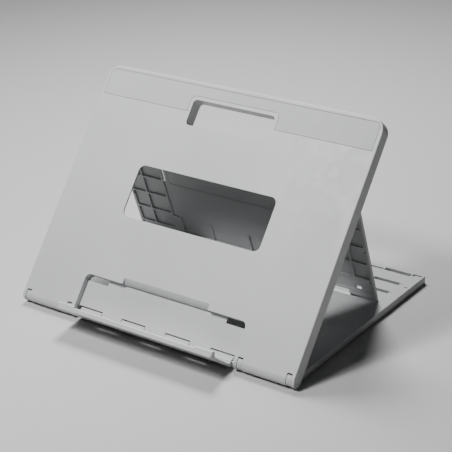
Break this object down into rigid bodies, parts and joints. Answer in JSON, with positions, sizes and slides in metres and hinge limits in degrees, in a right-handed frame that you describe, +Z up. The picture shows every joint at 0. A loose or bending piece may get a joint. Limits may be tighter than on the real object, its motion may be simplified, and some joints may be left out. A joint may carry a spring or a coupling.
{
  "type": "laptop stand",
  "caption": "Folding laptop stand: a hollow sloped deck with a window and carry handle, hinged to a flat tray and held by a ribbed rear prop, with a fold-out lipped ledge.",
  "frame": {"origin": "centre of the footprint at table height, in the standing pose with the ledge folded out", "axes": "+Z up, -Y towards the user, +X to the right seen from the user; the stand is mirror-symmetric about X = 0"},
  "size_m": [0.356, 0.3104, 0.2285],
  "materials": {
    "deck_plastic": "fine satin-moulded, light cool grey",
    "liner_plastic": "satin-moulded, light cool grey",
    "pad_plastic": "fine pebbled grip texture, light grey",
    "ledge_plastic": "satin-moulded, light cool grey",
    "base_plastic": "satin-moulded, light cool grey",
    "plug_plastic": "satin-moulded, light cool grey",
    "strut_plastic": "satin-moulded, light cool grey",
    "shoe_plastic": "satin-moulded, light cool grey",
    "steel": "plain ground pin steel",
    "clamp_steel": "zinc-plated sheet",
    "screw_steel": "zinc-plated, crossed recess",
    "rubber": "matt black elastomer"
  },
  "bodies": {
    "base": {"base_tray": "base_plastic", "deck_hinge_pin_left": "steel", "deck_hinge_pin_right": "steel", "base_foot_front_left": "rubber", "base_foot_front_right": "rubber", "base_foot_rear_left": "rubber", "base_foot_rear_right": "rubber"},
    "deck": {"deck_shell": "deck_plastic", "handle_liner": "liner_plastic", "grip_pad": "pad_plastic", "hinge_plug_left": "plug_plastic", "hinge_plug_right": "plug_plastic", "ledge_hinge_rod": "steel", "strut_clamp_left": "clamp_steel", "strut_clamp_right": "clamp_steel", "clamp_screws": "screw_steel"},
    "ledge": {"support_ledge": "ledge_plastic"},
    "strut": {"strut_panel": "strut_plastic", "strut_foot_left": "shoe_plastic", "strut_foot_right": "shoe_plastic", "strut_hinge_pin_left": "steel", "strut_hinge_pin_right": "steel"}
  },
  "joints": [
    {"name": "deck_tilt", "type": "hinge", "parent": "base", "child": "deck", "pos_m": [0, -0.11743, 0.0086], "axis": [1, 0, 0], "range_deg": [-9, 18.5]},
    {"name": "strut_swing", "type": "hinge", "parent": "deck", "child": "strut", "pos_m": [0, 0.01597, 0.17914], "axis": [1, 0, 0], "range_deg": [-57.4, 28]},
    {"name": "ledge_fold", "type": "hinge", "parent": "deck", "child": "ledge", "pos_m": [0, -0.11946, 0.00767], "axis": [-1, 0, 0], "range_deg": [0, 90]}
  ],
  "couplings": [
    {"joint": "strut_swing", "follows": "deck_tilt", "ratio": -3.1}
  ]
}
